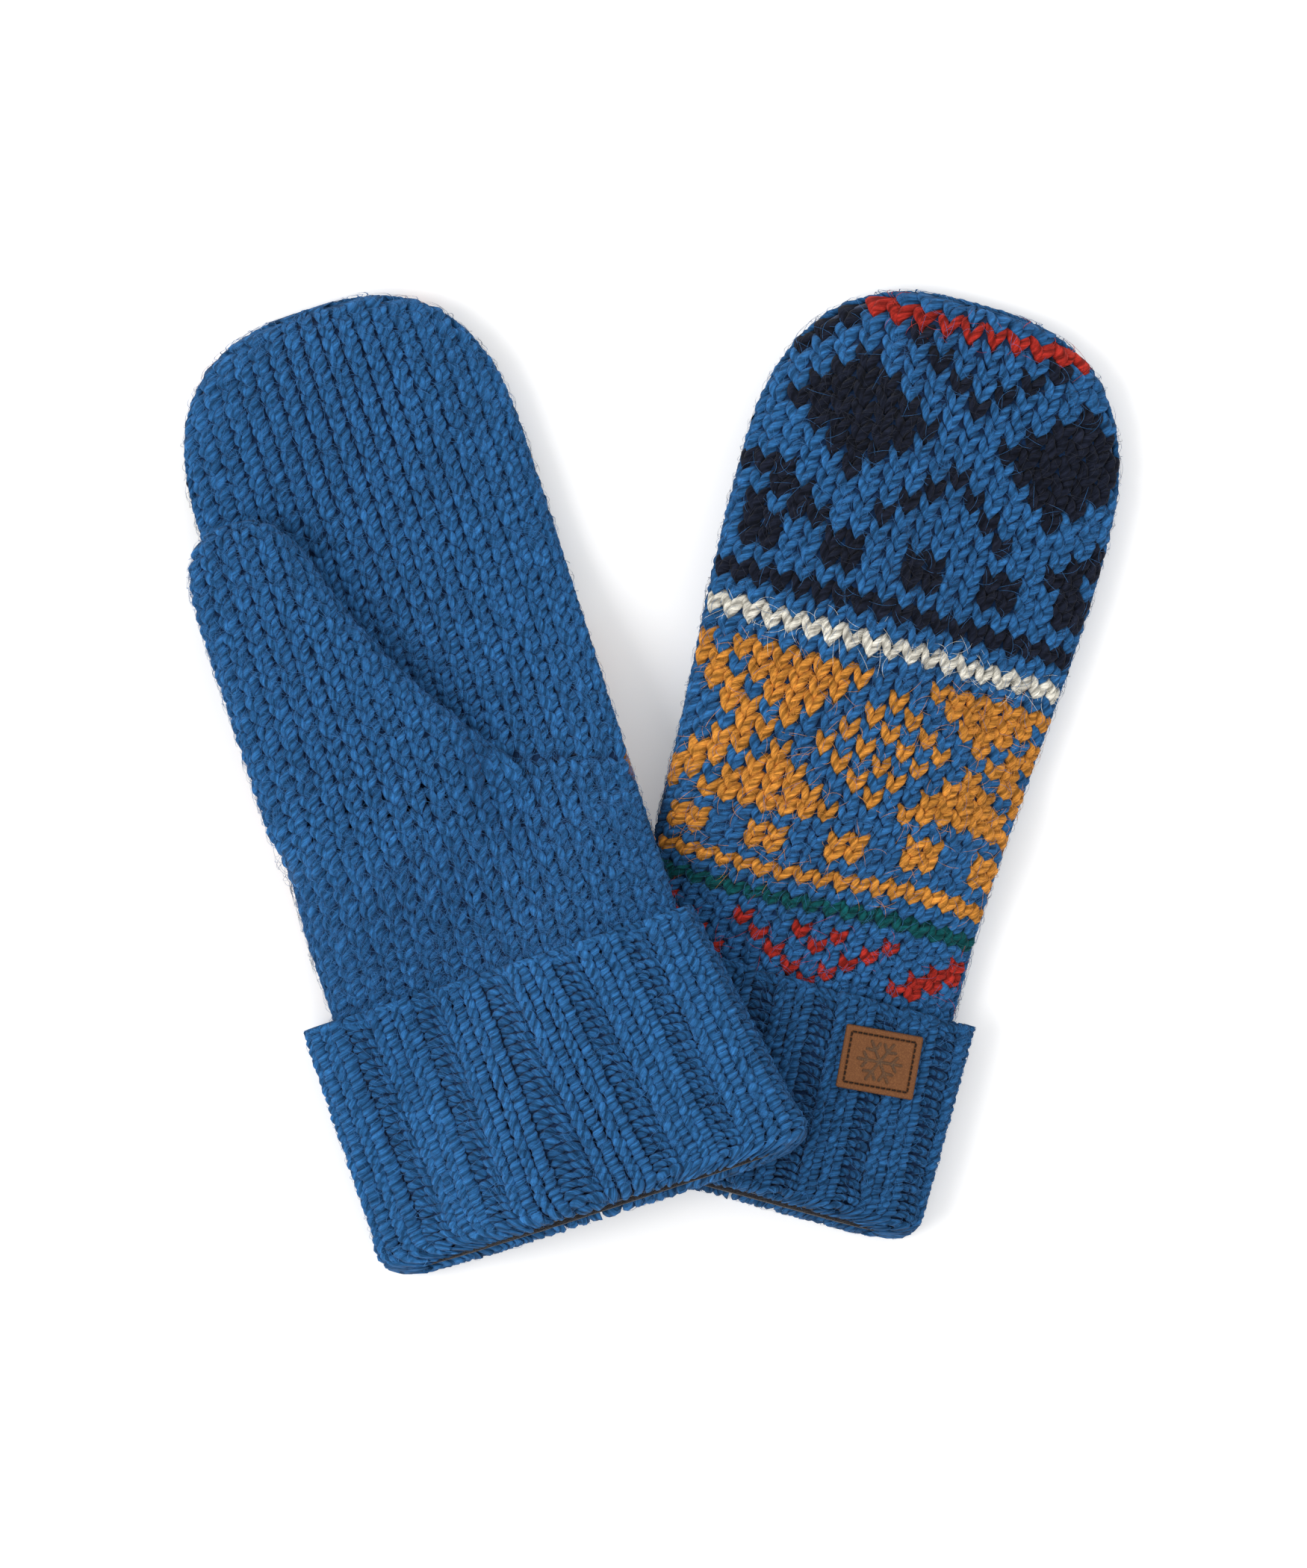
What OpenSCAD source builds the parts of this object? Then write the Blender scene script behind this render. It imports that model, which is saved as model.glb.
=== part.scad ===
/* [Hand] */
// Length from the fold of the cuff to the finger tip
mitten_length = 269; // [255:1:280]
// Width across the palm
palm_width = 104; // [98:1:108]
// Thickness of the lined hand, lying flat
hand_thickness = 17; // [16.5:0.5:19]

/* [Cuff] */
// Height of the turned-up rib
cuff_height = 73.8; // [68:0.2:78]
// How much higher the right cuff's fold lies than the left one's
right_fold_rise = 4.4; // [3.6:0.2:5.2]
// How much lower the right cuff's free edge lies than the left one's
right_edge_drop = 6.4; // [5.6:0.2:7.2]
// Thickness of the doubled and lined rib, lying flat
cuff_thickness = 18.5; // [18:0.5:20]

/* [Thumb] */
// Height up the mitten at which the thumb leaves the palm
thumb_root = 125; // [120:1:130]
// Height up the mitten of the thumb's tip
thumb_top = 217; // [205:1:225]
// Thickness of the lined thumb, lying flat
thumb_thickness = 13; // [12.5:0.5:14]

/* [Cloth] */
// Thickness of the knitted cloth
knit = 2.6; // [2.3:0.1:2.8]
// Thickness of the fleece lining
fleece = 1; // [0.8:0.1:1.1]
// Space between one layer and the next
gap = 0.25; // [0.2:0.05:0.3]

/* [Patch] */
// Width of the leather patch
patch_width = 22.2; // [18:0.2:26]
// Height of the leather patch
patch_height = 18.2; // [15:0.2:20]
// Thickness of the leather
leather = 1.2; // [1:0.1:1.6]

/* [Laying out] */
// How far the left mitten leans to the left
left_lean = 18.3; // [17:0.1:19]
// How far the right mitten leans to the right
right_lean = 15.3; // [14:0.1:16]

/* [Hidden] */
LEFT = 0;
RIGHT = 1;
// The left mitten lies palm up, the right one palm down
palm_up = [1, -1];
lean = [left_lean, -right_lean];
// Where the middle of each cuff's fold lies
place = [[-16.9, -121.05], [21.3, -119.85]];
wool = "#2f68a6";
wool_dark = "#28588f";
fleece_colour = "#2a262b";
leather_colour = "#8f5a30";
thread_colour = "#3a2517";

// Edges of each hand at the cuff and at its widest, as shares of the palm width
edge_low = [[-0.514, 0.481], [-0.458, 0.465]];
edge_high = [[-0.441, 0.489], [-0.504, 0.531]];
tip_short = [0, 2.3];
tip_depth = [54, 62];
plan_power = 2.6;
section_power = 3;
cuff_power = 4;
press = 1.08;
tip_bevel = 46;

// Edges of each cuff at its fold and at its free edge
cuff_fold_edge = [[-62, 66], [-54.4, 54.4]];
cuff_free_edge = [[-62, 53.6], [-54.4, 54.4]];
cuff_corner = 8;
under_drop = 3.5;
lap = 3.2;
cuff_ends = [[0, cuff_height], [right_fold_rise, cuff_height - right_edge_drop]];
cuff_wall = 2 * knit + gap;
nest = knit + 1.4 * gap;

thumb_edge = [-53.6, -48.5];
thumb_inner_tip = -20;
thumb_flare = 40;
thumb_flare_run = 83;
thumb_tip_depth = 25;
thumb_lift = thumb_thickness + 0.5;
rise_from = 84;
rise_to = thumb_root - 4;
seam_line = thumb_root - 1.4;
stack = cuff_thickness + 0.9;
drape = 52;
drape_slope = tan(left_lean + right_lean);

across = 18;
thumb_across = 12;
crowding = 0.7;
tip_rings = 6;
low_steps = 6;
seam_half = 0.3;
// How far the lower palm stops short of the palm seam's middle
root_room = 4.8;
root_slant = 3.2;
seam_room = 1;
seam_closing = 0.08;
stitch = 1.1;
stitch_step = 1.5;
stitch_inset = 1.9;
stitch_width = 0.45;

// ---- Curves ----

function smooth(t) = let (c = min(1, max(0, t))) c * c * (3 - 2 * c);
function ramp(v, from, to) = smooth((v - from) / (to - from));
function mix(a, b, t) = a + (b - a) * t;
// A squared-off oval: 1 at its middle, 0 at its end
function oval(s, power) = pow(max(0, 1 - pow(min(1, abs(s)), power)), 1 / power);
// Columns across a section, closer together at the edges
function column(j, count) = mix(2 * j / count - 1, sin(180 * j / count - 90), crowding);
function steps(from, to, step) =
    let (n = max(1, round((to - from) / step))) [for (i = [0:n]) mix(from, to, i / n)];
function tip_steps(from, to) = [for (i = [1:tip_rings]) mix(from, to, sin(84 * i / tip_rings))];

// ---- How each mitten lies ----

// The thumb's inner edge, which flares towards its root
function thumb_inner(y) =
    let (below = thumb_top - min(thumb_top, max(thumb_root, y)))
    thumb_inner_tip + thumb_flare * pow(below / thumb_flare_run, 2);
// Height that the left mitten rises by to lie over the other cuff
function drape_lift(x, y) =
    let (slant = drape_slope / 2 * (y - 20 + sqrt(pow(y - 20, 2) + 150)))
    stack * smooth((x + 62 - slant) / drape);
// Height that the right hand rises by to lie over its folded thumb
function tuck_lift(x, y) =
    thumb_lift * ramp(y, rise_from, rise_to) * (1 - ramp(y, thumb_top + 2, thumb_top + 45))
    * (1 - ramp(x - thumb_inner(y), 3, 40));
function lift(k, x, y) = k == LEFT ? drape_lift(x, y) : tuck_lift(x, y);
// From a mitten's own place to the pair's
function laid(k, x, y, z) =
    let (a = lean[k])
    [x * cos(a) - y * sin(a) + place[k][0], x * sin(a) + y * cos(a) + place[k][1], z];

// ---- The hand ----

function tip_y(k, off) = mitten_length - tip_short[k] - off;
function hand_edge(k, e, y) = palm_width * mix(edge_low[k][e], edge_high[k][e], ramp(y, 85, 205));
function hand_middle(k, y) = (hand_edge(k, 0, y) + hand_edge(k, 1, y)) / 2;
function hand_half(k, y, off) =
    let (start = tip_y(k, 0) - tip_depth[k], run = max(0, y - start) / (tip_y(k, off) - start))
    ((hand_edge(k, 1, y) - hand_edge(k, 0, y)) / 2 - off) * oval(run, plan_power);
function tip_bend(k, y, off) = oval(max(0, y - tip_y(k, off) + tip_bevel) / tip_bevel, section_power);
// The hand starts narrow, nested in the cuff, and thickens above it
function thicken(k, y) = ramp(y, cuff_ends[k][1] - 2, cuff_ends[k][1] + 22);
function hand_low(k, y) = mix(nest, 0, thicken(k, y));
function hand_deep(k, y) =
    (mix(cuff_thickness - nest, hand_thickness, thicken(k, y)) - hand_low(k, y)) / 2;
function hand_mid(k, y) = hand_low(k, y) + hand_deep(k, y) * mix(0.35, 1, tip_bend(k, y, 0));
function hand_start(k) = cuff_along(k, cuff_height - lap) + gap;
// The lower palm swells out to meet the thumb's root
function swell(k, x, y, off) =
    let (left = thumb_edge[k], right = thumb_inner(thumb_root), half = (right - left) / 2 - off)
    thumb_lift * ramp(y, rise_from, rise_to) * oval((x - (left + right) / 2) / half, section_power);
// side is 1 on the palm and -1 on the back
function hand_point(k, side, y, s, off, swollen) =
    let (
        x = hand_middle(k, y) + hand_half(k, y, off) * s,
        round = oval(s, section_power),
        pressed = side * palm_up[k] < 0 ? min(1, press * round) : round,
        deep = (hand_deep(k, y) - off) * tip_bend(k, y, off) * pressed,
        out = max(seam_room - seam_closing * off, deep + (swollen ? swell(k, x, y, off) : 0))
    )
    laid(k, x, y, hand_mid(k, y) + palm_up[k] * side * out + lift(k, x, y));

function hand_rows(k, side, ys, off, swollen) =
    [for (y = ys) [for (j = [0:across]) hand_point(k, side, y, column(j, across), off, swollen)]];
function long_steps(k, from, off) =
    let (start = tip_y(k, 0) - tip_depth[k], upper = seam_line + 1)
    concat(from < upper ? steps(from, upper, 8) : upper, 131, steps(146, start, 15),
        tip_steps(start, tip_y(k, off)));

// ---- The thumb ----

function thumb_half(k, y, off) =
    let (run = max(0, y - thumb_top + thumb_tip_depth) / (thumb_tip_depth - off))
    ((thumb_inner(y) - thumb_edge[k]) / 2 - off) * oval(run, plan_power);
function thumb_point(k, side, y, s, off) =
    let (
        x = (thumb_inner(y) + thumb_edge[k]) / 2 + thumb_half(k, y, off) * s,
        bend = oval(max(0, y - thumb_top + off + 18) / 18, section_power),
        deep = (thumb_thickness / 2 - off) * bend * min(1, press * oval(s, section_power)),
        base = k == LEFT ? hand_thickness + thumb_lift - thumb_thickness / 2 + drape_lift(x, y)
                         : thumb_thickness / 2
    )
    laid(k, x, y, base + palm_up[k] * side * deep);
function thumb_rows(k, off) =
    let (start = thumb_top - thumb_tip_depth)
    [for (y = concat(steps(thumb_root + 0.3, start, 11), tip_steps(start, thumb_top - off)))
        concat(
            [for (j = [0:thumb_across]) thumb_point(k, 1, y, column(j, thumb_across), off)],
            [for (j = [thumb_across - 1:-1:1]) thumb_point(k, -1, y, column(j, thumb_across), off)]
        )];

// ---- The cuff ----

function cuff_edge(k, e, y) = mix(cuff_fold_edge[k][e], cuff_free_edge[k][e], y / cuff_height);
// From a height on the left cuff to the same place on either one
function cuff_along(k, y) = mix(cuff_ends[k][0], cuff_ends[k][1], y / cuff_height);
function cuff_inset(y) =
    cuff_corner - sqrt(pow(cuff_corner, 2) - pow(max(0, cuff_corner - y), 2));
function cuff_point(k, side, y, s, off) =
    let (
        half = (cuff_edge(k, 1, y) - cuff_edge(k, 0, y)) / 2 - off - cuff_inset(y),
        x = (cuff_edge(k, 1, y) + cuff_edge(k, 0, y)) / 2 + half * s,
        round = oval(s, cuff_power),
        pressed = side < 0 ? min(1, press * round) : round,
        up = side * (cuff_thickness / 2 - off) * pressed,
        drop = under_drop * (1 - ramp(y, 0, 15)) * (0.5 - up / cuff_thickness)
    )
    laid(k, x, cuff_along(k, y) - drop, cuff_thickness / 2 + up + lift(k, x, y));
function cuff_heights() = steps(3, cuff_height, 10);
function cuff_row(k, y, off) =
    concat(
        [for (j = [0:across]) cuff_point(k, 1, y, column(j, across), off)],
        [for (j = [across - 1:-1:1]) cuff_point(k, -1, y, column(j, across), off)]
    );

// ---- Closed solids from rows of points ----

function quad(a, b, c, d) = [[a, b, c], [a, c, d]];
function joined(lists) = [for (list = lists) each list];
function turned(faces, turn) = turn ? [for (f = faces) [f[0], f[2], f[1]]] : faces;
// Faces of a grid of rows, its columns closed into rings or not
function grid_faces(rows, columns, first, ring, back) =
    joined([for (i = [0:rows - 2], j = [0:ring ? columns - 1 : columns - 2])
        let (a = first + i * columns + j, b = first + i * columns + (j + 1) % columns)
        back ? quad(a, b, b + columns, a + columns) : quad(a, a + columns, b + columns, b)]);

// A sheet of cloth between an outer and an inner grid
module sheet(outer, inner, turn) {
    rows = len(outer);
    columns = len(outer[0]);
    under = rows * columns;
    last = (rows - 1) * columns;
    ends = joined([for (j = [0:columns - 2])
        concat(quad(j, j + 1, under + j + 1, under + j),
            quad(last + j + 1, last + j, under + last + j, under + last + j + 1))]);
    sides = joined([for (i = [0:rows - 2])
        let (a = i * columns, b = a + columns - 1)
        concat(quad(a + columns, a, under + a, under + a + columns),
            quad(b, b + columns, under + b + columns, under + b))]);
    faces = concat(grid_faces(rows, columns, 0, false, false),
        grid_faces(rows, columns, under, false, true), ends, sides);
    polyhedron(concat(joined(outer), joined(inner)), turned(faces, turn), convexity = 6);
}

// A pocket, open at its first row and closed past its last
module pocket(outer, inner, turn) {
    rows = len(outer);
    columns = len(outer[0]);
    under = rows * columns;
    last = (rows - 1) * columns;
    tips = [2 * under, 2 * under + 1];
    mids = [for (grid = [outer, inner]) [for (axis = [0:2])
        [for (p = grid[rows - 1]) 1] * [for (p = grid[rows - 1]) p[axis]] / columns]];
    rim = joined([for (j = [0:columns - 1])
        let (b = (j + 1) % columns) quad(j, b, under + b, under + j)]);
    caps = joined([for (j = [0:columns - 1])
        let (a = last + j, b = last + (j + 1) % columns)
        [[a, tips[0], b], [under + a, under + b, tips[1]]]]);
    faces = concat(grid_faces(rows, columns, 0, true, false),
        grid_faces(rows, columns, under, true, true), rim, caps);
    polyhedron(concat(joined(outer), joined(inner), mids), turned(faces, turn), convexity = 6);
}

// A sleeve, open at both ends
module sleeve(outer, inner, turn) {
    rows = len(outer);
    columns = len(outer[0]);
    under = rows * columns;
    last = (rows - 1) * columns;
    rims = joined([for (j = [0:columns - 1])
        let (b = (j + 1) % columns)
        concat(quad(j, b, under + b, under + j),
            quad(last + b, last + j, under + last + j, under + last + b))]);
    faces = concat(grid_faces(rows, columns, 0, true, false),
        grid_faces(rows, columns, under, true, true), rims);
    polyhedron(concat(joined(outer), joined(inner)), turned(faces, turn), convexity = 6);
}

// A band closed all round, its first row joined to its last
module band(rows, turn) {
    columns = len(rows[0]);
    faces = grid_faces(len(rows) + 1, columns, 0, true, false);
    count = len(rows) * columns;
    polyhedron(joined(rows), turned([for (f = faces) [for (v = f) v % count]], turn), convexity = 6);
}

// A bar through rings of points
module bar(rings) {
    columns = len(rings[0]);
    last = (len(rings) - 1) * columns;
    ends = [[for (j = [0:columns - 1]) j], [for (j = [0:columns - 1]) last + columns - 1 - j]];
    polyhedron(joined(rings), concat(grid_faces(len(rings), columns, 0, true, false), ends), convexity = 4);
}

// ---- Sub-parts ----

module hand_sheet(k, side, from, off, thick) {
    sheet(hand_rows(k, side, long_steps(k, from, off), off, false),
        hand_rows(k, side, long_steps(k, from, off + thick), off + thick, false), side != palm_up[k]);
}

// The lower palm ends on a slant that leaves the thumb's root room to turn
module low_sheet(k, off, thick) {
    rows = function (depth)
        let (end = seam_line - root_room - root_slant * depth / knit)
        hand_rows(k, 1, [for (i = [0:low_steps]) mix(hand_start(k), end, i / low_steps)], depth, true);
    sheet(rows(off), rows(off + thick), k == RIGHT);
}

module back_panel(k) {
    color(wool) hand_sheet(k, -1, hand_start(k), 0, knit);
}

module upper_palm(k) {
    color(wool) hand_sheet(k, 1, seam_line + 1, 0, knit);
}

module lower_palm(k) {
    color(wool) low_sheet(k, 0, knit);
}

module thumb_stall(k) {
    color(wool) pocket(thumb_rows(k, 0), thumb_rows(k, knit), k == RIGHT);
}

module rib_cuff(k) {
    heights = cuff_heights();
    falling = [for (i = [len(heights) - 2:-1:0]) heights[i]];
    color(wool_dark) band(concat(
        [for (y = heights) cuff_row(k, y, 0)],
        [cuff_row(k, cuff_height, knit)],
        [for (off = [knit, cuff_wall]) cuff_row(k, cuff_height - lap, off)],
        [for (y = falling) cuff_row(k, y, cuff_wall)],
        [cuff_row(k, 0.8, cuff_wall - 0.8), cuff_row(k, 0, knit), cuff_row(k, 0.8, 0.8)]
    ), false);
}

module cuff_lining(k) {
    top = cuff_height - lap - gap;
    heights = concat(1.6, [for (y = cuff_heights()) if (y < top - lap) y], top);
    falling = [for (i = [len(heights) - 1:-1:0]) heights[i]];
    color(fleece_colour) sleeve([for (y = falling) cuff_row(k, y, cuff_wall + gap)],
        [for (y = falling) cuff_row(k, y, cuff_wall + gap + fleece)], true);
}

module back_lining(k) {
    color(fleece_colour) hand_sheet(k, -1, hand_start(k), knit + gap, fleece);
}

module upper_palm_lining(k) {
    color(fleece_colour) hand_sheet(k, 1, seam_line + 1, knit + gap, fleece);
}

module lower_palm_lining(k) {
    color(fleece_colour) low_sheet(k, knit + gap, fleece);
}

module thumb_lining(k) {
    color(fleece_colour) pocket(thumb_rows(k, knit + gap), thumb_rows(k, knit + gap + fleece), k == RIGHT);
}

// The linked seam runs up one edge, round the tip and down the other
module side_seam(k) {
    ys = long_steps(k, hand_start(k), 0);
    edge = function (e, y, off)
        let (x = hand_middle(k, y) + e * hand_half(k, y, off), at = min(y, tip_y(k, off)))
        [for (z = [-seam_half, seam_half]) laid(k, x, at, hand_mid(k, at) + z + lift(k, x, at))];
    ring = function (e, y)
        let (out = edge(e, y, 0.2), in = edge(e, y, knit - 0.2)) [out[0], out[1], in[1], in[0]];
    color(wool_dark) bar(concat(
        [for (y = ys) ring(-1, y)],
        [for (i = [len(ys) - 1:-1:0]) ring(1, ys[i])]
    ));
}

// The linked seam where the upper palm joins the lower one beside the thumb
module palm_seam(k) {
    s_from = (thumb_inner(thumb_root) + 3 - hand_middle(k, seam_line)) / hand_half(k, seam_line, 0);
    columns = 6;
    rows = function (off)
        [for (y = [seam_line - root_room + gap, seam_line + seam_half])
            [for (j = [0:columns]) hand_point(k, 1, y, mix(s_from, 0.97, j / columns), off, false)]];
    color(wool_dark) sheet(rows(0), rows(knit - 0.3), k == RIGHT);
}

module on_patch() {
    translate([place[RIGHT][0], place[RIGHT][1], 0]) rotate([0, 0, lean[RIGHT]])
        translate([31, 50.8, cuff_thickness - 0.05]) rotate([0, 2.2, 5])
            translate([-patch_width / 2, -patch_height / 2, 0]) children();
}

// A snow crystal of three crossed bars with a tick near each end, pressed into the leather
module crystal() {
    reach = 5.6;
    wide = 0.9;
    for (a = [0, 60, 120]) rotate([0, 0, a])
        translate([-reach, -wide / 2, 0]) cube([2 * reach, wide, leather]);
    for (a = [0:60:300], b = [-55, 55]) rotate([0, 0, a])
        translate([reach * 0.55, 0, 0]) rotate([0, 0, b])
            translate([0, -wide / 2, 0]) cube([2.2, wide, leather]);
}

module patch() {
    press_depth = 0.35;
    color(leather_colour) on_patch() difference() {
        cube([patch_width, patch_height, leather]);
        translate([patch_width / 2, patch_height / 2, leather - press_depth]) crystal();
    }
}

module patch_thread() {
    wide = patch_width - 2 * stitch_inset;
    high = patch_height - 2 * stitch_inset;
    wide_count = floor(wide / stitch_step);
    high_count = floor(high / stitch_step);
    thick = 0.35;
    color(thread_colour) on_patch() translate([stitch_inset, stitch_inset, leather + 0.02]) {
        for (i = [0:wide_count - 1], y = [0, high])
            translate([(i + 0.5) * wide / wide_count - stitch / 2, y - stitch_width / 2, 0])
                cube([stitch, stitch_width, thick]);
        for (i = [0:high_count - 1], x = [0, wide])
            translate([x - stitch_width / 2, (i + 0.5) * high / high_count - stitch / 2, 0])
                cube([stitch_width, stitch, thick]);
    }
}

back_panel(LEFT);  // left_back_panel
upper_palm(LEFT);  // left_upper_palm
lower_palm(LEFT);  // left_lower_palm
thumb_stall(LEFT);  // left_thumb_stall
rib_cuff(LEFT);  // left_rib_cuff
side_seam(LEFT);  // left_side_seam
palm_seam(LEFT);  // left_palm_seam
back_lining(LEFT);  // left_back_lining
upper_palm_lining(LEFT);  // left_upper_palm_lining
lower_palm_lining(LEFT);  // left_lower_palm_lining
thumb_lining(LEFT);  // left_thumb_lining
cuff_lining(LEFT);  // left_cuff_lining
back_panel(RIGHT);  // right_back_panel
upper_palm(RIGHT);  // right_upper_palm
lower_palm(RIGHT);  // right_lower_palm
thumb_stall(RIGHT);  // right_thumb_stall
rib_cuff(RIGHT);  // right_rib_cuff
side_seam(RIGHT);  // right_side_seam
palm_seam(RIGHT);  // right_palm_seam
back_lining(RIGHT);  // right_back_lining
upper_palm_lining(RIGHT);  // right_upper_palm_lining
lower_palm_lining(RIGHT);  // right_lower_palm_lining
thumb_lining(RIGHT);  // right_thumb_lining
cuff_lining(RIGHT);  // right_cuff_lining
patch();  // right_patch
patch_thread();  // right_patch_thread
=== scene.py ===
"""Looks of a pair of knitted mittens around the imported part.

Each mitten is knitted stitch by stitch: every stitch is two legs of two-ply yarn, laid on the
panel that it belongs to. A panel is handled as flat cloth, in millimetres across and along it, and
Cloth.point() lays those flat places on the mitten. Lengths are in millimetres until build().
"""

import bpy
import numpy as np
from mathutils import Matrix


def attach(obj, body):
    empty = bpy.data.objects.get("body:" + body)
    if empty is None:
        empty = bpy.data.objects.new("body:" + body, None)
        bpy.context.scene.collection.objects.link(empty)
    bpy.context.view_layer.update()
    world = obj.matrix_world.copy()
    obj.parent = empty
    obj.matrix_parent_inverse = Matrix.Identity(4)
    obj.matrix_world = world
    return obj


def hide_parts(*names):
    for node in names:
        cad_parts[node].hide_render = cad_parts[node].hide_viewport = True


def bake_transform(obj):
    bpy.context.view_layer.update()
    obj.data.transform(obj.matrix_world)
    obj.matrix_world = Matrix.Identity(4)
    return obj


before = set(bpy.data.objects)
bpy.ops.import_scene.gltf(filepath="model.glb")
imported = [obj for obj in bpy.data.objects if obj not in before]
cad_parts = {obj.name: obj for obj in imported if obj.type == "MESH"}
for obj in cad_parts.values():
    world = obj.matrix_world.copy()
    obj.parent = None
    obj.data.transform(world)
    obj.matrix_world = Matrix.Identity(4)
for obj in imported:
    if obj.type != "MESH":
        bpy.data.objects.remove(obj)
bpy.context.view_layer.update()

MM = 0.001
LEFT, RIGHT = 0, 1
SIDES = ("left", "right")

# ---- Sizes of the part ----

LENGTH, PALM_WIDTH, HAND_DEPTH = 269.0, 104.0, 17.0
CUFF_HEIGHT, CUFF_DEPTH = 73.8, 18.5
ROOT, TOP, THUMB_DEPTH = 125.0, 217.0, 13.0
KNIT, FLEECE, GAP = 2.6, 1.0, 0.25
# The backing cloth lies behind the stitches, at the inner side of the knitting
BACKING_TOP = 2.0
LINING_NAP = 0.1
PALM_UP = (1, -1)
LEAN = (18.3, -15.3)
PLACE = ((-16.9, -121.05), (21.3, -119.85))
EDGE_LOW = ((-0.514, 0.481), (-0.458, 0.465))
EDGE_HIGH = ((-0.441, 0.489), (-0.504, 0.531))
TIP_SHORT = (0, 2.3)
TIP_DEPTH = (54, 62)
CUFF_FOLD = ((-62, 66), (-54.4, 54.4))
CUFF_FREE = ((-62, 53.6), (-54.4, 54.4))
THUMB_EDGE = (-53.6, -48.5)
THUMB_LIFT = THUMB_DEPTH + 0.5
CUFF_WALL = 2 * KNIT + GAP
NEST = KNIT + 1.4 * GAP
UNDER_DROP = 3.5
CUFF_ENDS = ((0.0, CUFF_HEIGHT), (4.4, CUFF_HEIGHT - 6.4))
SEAM_LINE = ROOT - 1.4
RIM = 0.75
FOLD = CUFF_WALL / 2
FOLD_ROUND = FOLD - KNIT / 2
HAND_POWER, CUFF_POWER = 3, 4
PRESS = 1.08


def smooth(t):
    c = np.clip(t, 0, 1)
    return c * c * (3 - 2 * c)


def ramp(v, start, end):
    return smooth((v - start) / (end - start))


def mix(a, b, t):
    return a + (b - a) * t


def oval(s, power):
    """A squared-off oval: 1 at its middle, 0 at its end."""
    return np.maximum(0, 1 - np.minimum(1, np.abs(s)) ** power) ** (1 / power)


def pressed(r):
    """The height of a section's underside, flattened where it rests."""
    return np.minimum(1, PRESS * np.abs(r))


# ---- How each mitten lies ----


def thumb_inner(y):
    """The thumb's inner edge, which flares towards its root."""
    flare, over = 34.6, 82.9
    return -20 + flare * ((TOP - np.clip(y, ROOT, TOP)) / over) ** 1.73


def thumb_rise(y):
    """From 0 above the cuff to 1 at the thumb's root."""
    return ramp(y, 84, ROOT - 4)


def drape(x, y):
    """How far the left mitten rises to lie over the other cuff."""
    slope = np.tan(np.radians(LEAN[LEFT] - LEAN[RIGHT]))
    slant = slope / 2 * (y - 20 + np.sqrt((y - 20) ** 2 + 150))
    return (CUFF_DEPTH + 0.9) * smooth((x + 62 - slant) / 52)


def tuck(x, y):
    """How far the right hand rises to lie over its folded thumb."""
    rise = thumb_rise(y) * (1 - ramp(y, TOP + 2, TOP + 45))
    return THUMB_LIFT * rise * (1 - ramp(x - thumb_inner(y), 3, 40))


def lift(k, x, y):
    return drape(x, y) if k == LEFT else tuck(x, y)


def laid(k, x, y, z):
    """From a mitten's own place to the pair's."""
    a = np.radians(LEAN[k])
    x, y, z = np.broadcast_arrays(x, y, z)
    across = x * np.cos(a) - y * np.sin(a) + PLACE[k][0]
    along = x * np.sin(a) + y * np.cos(a) + PLACE[k][1]
    return np.stack([across, along, z], -1)


# ---- Surfaces: s runs across a section, r is its height, off is the depth below the surface ----


def tip(k, off=0):
    return LENGTH - TIP_SHORT[k] - off


def hand_edge(k, e, y):
    return PALM_WIDTH * mix(EDGE_LOW[k][e], EDGE_HIGH[k][e], ramp(y, 85, 205))


def hand_middle(k, y):
    return (hand_edge(k, 0, y) + hand_edge(k, 1, y)) / 2


def hand_half(k, y, off):
    start = tip(k) - TIP_DEPTH[k]
    run = np.maximum(0, y - start) / (tip(k, off) - start)
    return ((hand_edge(k, 1, y) - hand_edge(k, 0, y)) / 2 - off) * oval(run, 2.6)


def tip_bend(k, y, off):
    return oval(np.maximum(0, y - tip(k, off) + 46) / 46, HAND_POWER)


def cuff_along(k, y):
    """From a height on the left cuff to the same place on either one."""
    return mix(*CUFF_ENDS[k], y / CUFF_HEIGHT)


def hand_start(k):
    return cuff_along(k, CUFF_HEIGHT - 3)


def thicken(k, y):
    """The hand starts narrow, nested in the cuff, and thickens above it."""
    return ramp(y, CUFF_ENDS[k][1] - 2, CUFF_ENDS[k][1] + 22)


def hand_low(k, y):
    return NEST * (1 - thicken(k, y))


def hand_deep(k, y):
    return (mix(CUFF_DEPTH - NEST, HAND_DEPTH, thicken(k, y)) - hand_low(k, y)) / 2


def hand_mid(k, y):
    return hand_low(k, y) + hand_deep(k, y) * mix(0.35, 1, tip_bend(k, y, 0))


def swell(k, x, y):
    """The lower palm rises to the thumb's root, and falls softly beside it."""
    left, right = np.maximum(THUMB_EDGE[k], hand_edge(k, 0, y)), thumb_inner(ROOT)
    middle = (left + right) / 2
    bulge = oval((x - middle) / ((right - left) / 2), HAND_POWER)
    reach = mix(right + 3, 16, ramp(y, 95, 120))
    bulge = np.where(x > middle, smooth((reach - x) / 17), bulge)
    return THUMB_LIFT * thumb_rise(y) * bulge


def seam_slant(x):
    """The palm seam runs down from the thumb's crotch to the far edge."""
    return -0.3 * (np.maximum(x, 12) - 36)


def seam_crease(x, y):
    """The seam sinks into the palm, under a low ridge."""
    above = y - SEAM_LINE - seam_slant(x)
    return (0.6 * np.exp(-((above - 4.5) / 2.6) ** 2) - 0.9 * np.exp(-(above / 1.6) ** 2)) * ramp(x, 9, 19)


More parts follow.
